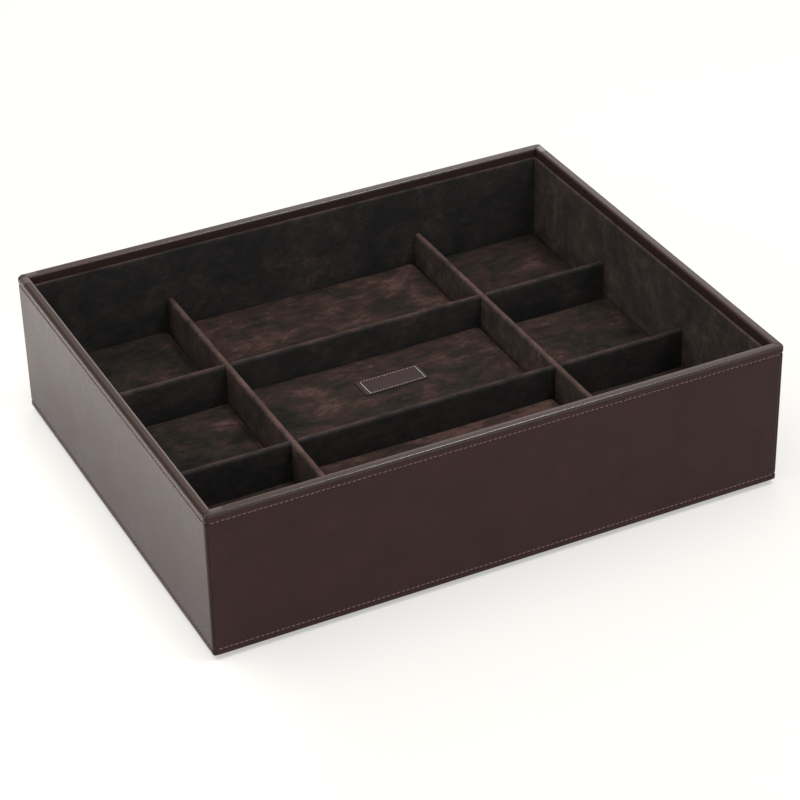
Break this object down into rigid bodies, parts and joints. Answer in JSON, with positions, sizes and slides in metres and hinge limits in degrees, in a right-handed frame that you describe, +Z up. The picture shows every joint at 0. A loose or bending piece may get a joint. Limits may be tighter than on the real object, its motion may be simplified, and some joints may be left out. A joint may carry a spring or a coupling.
{
  "type": "stackable watch box",
  "caption": "Open stackable watch box: leatherette-wrapped tray lined with velvet, a lift-out cross-lapped divider grid and drop-in velvet pads.",
  "frame": {"origin": "middle of the foot's underside, where the box stands", "axes": "+X along the long side, the front wall at -Y, +Z up"},
  "size_m": [0.36, 0.288, 0.0955],
  "materials": {
    "leatherette": "fine-grained dark brown leatherette with a satin sheen and stitched hems",
    "wall_board": "raw fibreboard, hidden under the wrap",
    "card": "grey bookbinder's card, hidden under the velvet",
    "velvet": "short-pile dark brown velvet, mottled where the pile is brushed",
    "felt": "black pressed felt",
    "foam": "soft polyurethane foam, hidden inside the pads",
    "label": "plain woven label with a stitched border, no text"
  },
  "bodies": {
    "tray": {"front_wall_board": "wall_board", "front_wall_cover": "leatherette", "front_liner_card": "card", "front_liner_velvet": "velvet", "right_wall_board": "wall_board", "right_wall_cover": "leatherette", "right_liner_card": "card", "right_liner_velvet": "velvet", "rear_wall_board": "wall_board", "rear_wall_cover": "leatherette", "rear_liner_card": "card", "rear_liner_velvet": "velvet", "left_wall_board": "wall_board", "left_wall_cover": "leatherette", "left_liner_card": "card", "left_liner_velvet": "velvet", "foot_felt": "felt", "foot_board": "wall_board", "base_board": "wall_board", "floor_liner": "velvet"},
    "cross_dividers": {"front_cross_card": "card", "front_cross_sleeve": "velvet", "rear_cross_card": "card", "rear_cross_sleeve": "velvet"},
    "left_long_divider": {"left_divider_card": "card", "left_divider_sleeve": "velvet"},
    "right_long_divider": {"right_divider_card": "card", "right_divider_sleeve": "velvet"},
    "front_left_pad": {"front_left_pad_cover": "velvet", "front_left_pad_foam": "foam", "front_left_pad_card": "card"},
    "front_centre_pad": {"front_centre_pad_cover": "velvet", "front_centre_pad_foam": "foam", "front_centre_pad_card": "card"},
    "front_right_pad": {"front_right_pad_cover": "velvet", "front_right_pad_foam": "foam", "front_right_pad_card": "card"},
    "middle_left_pad": {"middle_left_pad_cover": "velvet", "middle_left_pad_foam": "foam", "middle_left_pad_card": "card"},
    "middle_centre_pad": {"middle_centre_pad_cover": "velvet", "middle_centre_pad_foam": "foam", "middle_centre_pad_card": "card", "centre_label": "label"},
    "middle_right_pad": {"middle_right_pad_cover": "velvet", "middle_right_pad_foam": "foam", "middle_right_pad_card": "card"},
    "rear_left_pad": {"rear_left_pad_cover": "velvet", "rear_left_pad_foam": "foam", "rear_left_pad_card": "card"},
    "rear_centre_pad": {"rear_centre_pad_cover": "velvet", "rear_centre_pad_foam": "foam", "rear_centre_pad_card": "card"},
    "rear_right_pad": {"rear_right_pad_cover": "velvet", "rear_right_pad_foam": "foam", "rear_right_pad_card": "card"}
  },
  "joints": [
    {"name": "divider_grid_lift", "type": "slide", "parent": "tray", "child": "cross_dividers", "axis": [0, 0, 1], "range_m": [0, 0.1]},
    {"name": "left_divider_lift", "type": "slide", "parent": "cross_dividers", "child": "left_long_divider", "axis": [0, 0, 1], "range_m": [0, 0.06]},
    {"name": "right_divider_lift", "type": "slide", "parent": "cross_dividers", "child": "right_long_divider", "axis": [0, 0, 1], "range_m": [0, 0.06]},
    {"name": "front_left_pad_lift", "type": "slide", "parent": "tray", "child": "front_left_pad", "axis": [0, 0, 1], "range_m": [0, 0.1]},
    {"name": "front_centre_pad_lift", "type": "slide", "parent": "tray", "child": "front_centre_pad", "axis": [0, 0, 1], "range_m": [0, 0.1]},
    {"name": "front_right_pad_lift", "type": "slide", "parent": "tray", "child": "front_right_pad", "axis": [0, 0, 1], "range_m": [0, 0.1]},
    {"name": "middle_left_pad_lift", "type": "slide", "parent": "tray", "child": "middle_left_pad", "axis": [0, 0, 1], "range_m": [0, 0.1]},
    {"name": "middle_centre_pad_lift", "type": "slide", "parent": "tray", "child": "middle_centre_pad", "axis": [0, 0, 1], "range_m": [0, 0.1]},
    {"name": "middle_right_pad_lift", "type": "slide", "parent": "tray", "child": "middle_right_pad", "axis": [0, 0, 1], "range_m": [0, 0.1]},
    {"name": "rear_left_pad_lift", "type": "slide", "parent": "tray", "child": "rear_left_pad", "axis": [0, 0, 1], "range_m": [0, 0.1]},
    {"name": "rear_centre_pad_lift", "type": "slide", "parent": "tray", "child": "rear_centre_pad", "axis": [0, 0, 1], "range_m": [0, 0.1]},
    {"name": "rear_right_pad_lift", "type": "slide", "parent": "tray", "child": "rear_right_pad", "axis": [0, 0, 1], "range_m": [0, 0.1]}
  ]
}
